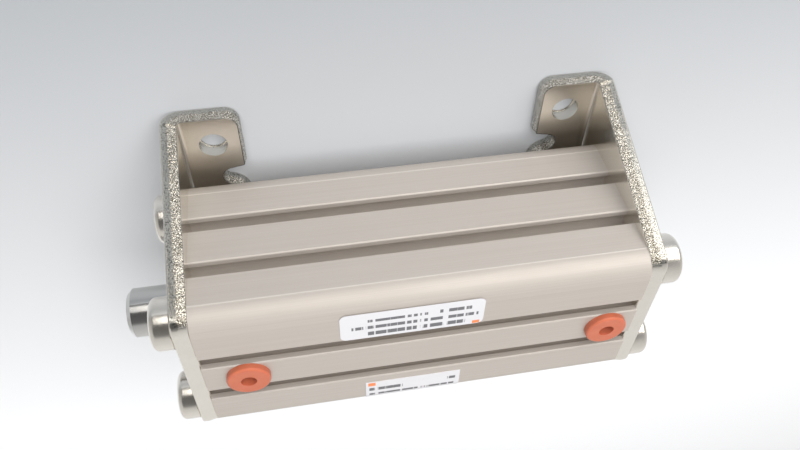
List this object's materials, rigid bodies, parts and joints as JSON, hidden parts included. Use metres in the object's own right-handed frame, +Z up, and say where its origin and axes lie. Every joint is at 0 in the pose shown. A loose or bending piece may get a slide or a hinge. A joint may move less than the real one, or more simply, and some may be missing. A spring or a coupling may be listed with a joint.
{
  "type": "pneumatic cylinder",
  "caption": "Compact square-bodied double-acting air cylinder on bent-sheet feet, with sensor grooves, a plain round piston rod and push-in port plugs.",
  "frame": {"origin": "middle of the four foot holes, on the plane that the feet stand on", "axes": "+Z up from the feet to the port face, +X along the axis towards the rod, +Y across the body"},
  "size_m": [0.1065, 0.062, 0.0434],
  "materials": {
    "anodised_tube": "hard anodised satin",
    "nickel_sheet": "satin nickel plate",
    "nickel_screw": "nickel plated, smooth",
    "rod_chrome": "hard chrome, ground",
    "cover_alloy": "turned",
    "piston_alloy": "turned",
    "bronze_bush": "sintered bronze, oiled",
    "seal_rubber": "nitrile, matte",
    "bumper_rubber": "urethane, matte",
    "spring_steel": "phosphated",
    "wear_ring_plastic": "moulded resin",
    "magnet_plastic": "plastic-bonded magnet",
    "plug_plastic": "soft moulded polyethylene",
    "sticker_film": "white film, blank"
  },
  "bodies": {
    "cylinder_body": {"cylinder_tube": "anodised_tube", "rod_cover": "cover_alloy", "rod_bush": "bronze_bush", "rod_seal": "seal_rubber", "rod_cover_gasket": "seal_rubber", "retaining_ring": "spring_steel", "head_plate": "cover_alloy", "head_plate_gasket": "seal_rubber", "rod_side_foot": "nickel_sheet", "head_side_foot": "nickel_sheet", "rod_side_bolts": "nickel_screw", "head_side_bolts": "nickel_screw", "test_sticker": "sticker_film", "type_sticker": "sticker_film"},
    "piston_rings": {"piston_seal": "seal_rubber", "wear_ring": "wear_ring_plastic"},
    "rod_and_piston": {"piston_rod": "rod_chrome", "piston": "piston_alloy", "piston_gasket": "seal_rubber", "magnet_ring": "magnet_plastic", "rod_side_bumper": "bumper_rubber", "head_side_bumper": "bumper_rubber"},
    "rod_port_plug_body": {"rod_port_plug": "plug_plastic"},
    "head_port_plug_body": {"head_port_plug": "plug_plastic"}
  },
  "joints": [
    {"name": "rod_slide", "type": "slide", "parent": "cylinder_body", "child": "piston_rings", "axis": [1, 0, 0], "range_m": [0, 0.05]},
    {"name": "rod_spin", "type": "hinge", "parent": "piston_rings", "child": "rod_and_piston", "pos_m": [0, 0, 0.024], "axis": [1, 0, 0], "continuous": true},
    {"name": "rod_port_plug_pull", "type": "slide", "parent": "cylinder_body", "child": "rod_port_plug_body", "axis": [0, 0, 1], "range_m": [0, 0.008]},
    {"name": "head_port_plug_pull", "type": "slide", "parent": "cylinder_body", "child": "head_port_plug_body", "axis": [0, 0, 1], "range_m": [0, 0.008]}
  ]
}
